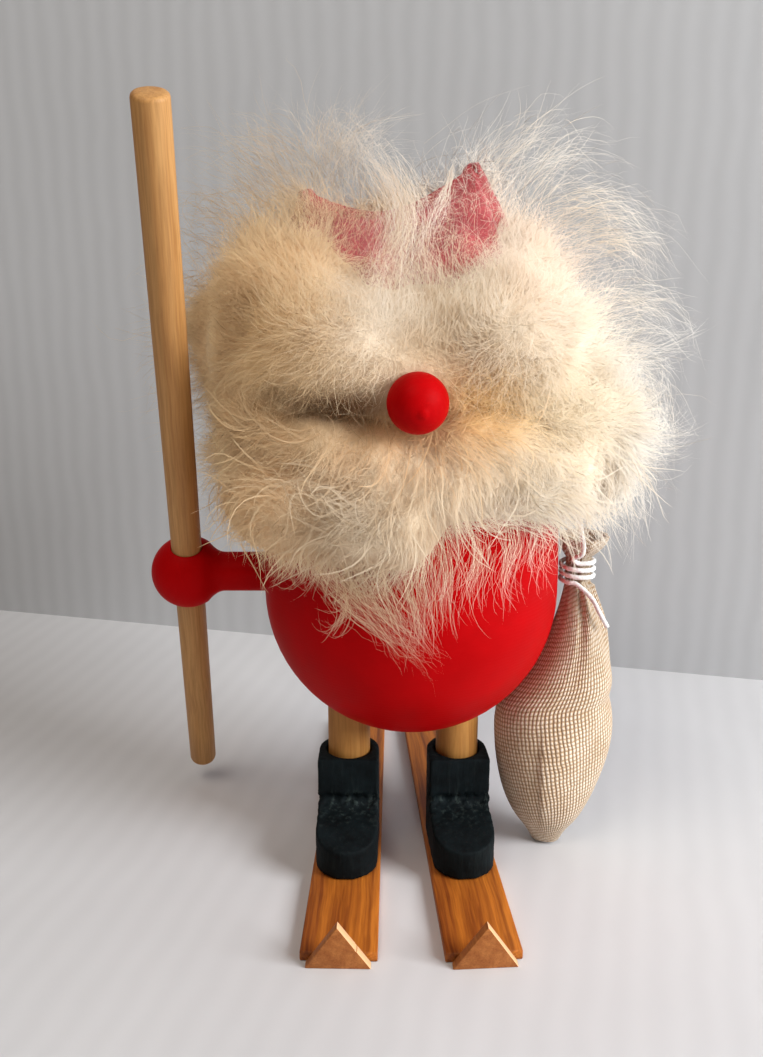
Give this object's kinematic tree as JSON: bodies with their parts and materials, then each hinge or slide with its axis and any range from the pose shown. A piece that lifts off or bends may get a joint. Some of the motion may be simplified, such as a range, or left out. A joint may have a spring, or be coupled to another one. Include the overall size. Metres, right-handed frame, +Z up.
{
  "type": "wooden gnome figure on skis",
  "caption": "Turned wooden gnome standing on skis, with fleece hair and beard, a cloth cap, a bead nose, a staff through its hand and a tied burlap sack.",
  "frame": {"origin": "middle of the bounding box's bottom, on the floor under the skis", "axes": "+Z up, the figure faces -Y, and its right hand with the staff is on the -X side"},
  "size_m": [0.0984, 0.0998, 0.1501],
  "materials": {
    "red_paint": "satin red paint on turned wood",
    "pale_dowel": "bare pale dowel",
    "leg_wood": "ochre-tan dowel",
    "black_stain": "black stain on sawn wood",
    "ski_stain": "orange-brown stain on pine",
    "cut_pine": "cut pine, lightly stained",
    "red_cloth": "soft red cloth",
    "fleece": "long cream fleece",
    "burlap": "coarse tan burlap",
    "wadding": "loose stuffing",
    "white_string": "white cotton string"
  },
  "bodies": {
    "figure": {"body": "red_paint", "nose": "red_paint", "cap": "red_cloth", "hair": "fleece", "beard": "fleece", "left_arm": "red_paint", "string_loop": "white_string", "leg_left": "leg_wood", "leg_right": "leg_wood", "boot_left": "black_stain", "boot_right": "black_stain", "ski_left": "ski_stain", "ski_right": "ski_stain", "ski_tip_left": "cut_pine", "ski_tip_right": "cut_pine"},
    "right_arm": {"right_arm": "red_paint"},
    "staff": {"staff": "pale_dowel"},
    "sack": {"sack": "burlap", "sack_filling": "wadding", "sack_string": "white_string"}
  },
  "joints": [
    {"name": "right_arm_turn", "type": "hinge", "parent": "figure", "child": "right_arm", "pos_m": [-0.0418, -0.00544, 0.062], "axis": [1, 0, 0], "range_deg": [-24.6, 65]},
    {"name": "staff_slide", "type": "slide", "parent": "right_arm", "child": "staff", "axis": [0.0576, -0.4156, 0.9077], "range_m": [-0.005, 0.04]},
    {"name": "sack_swing", "type": "hinge", "parent": "figure", "child": "sack", "pos_m": [0.03697, -0.00544, 0.07606], "axis": [1, 0, 0], "range_deg": [-20, 30]}
  ]
}
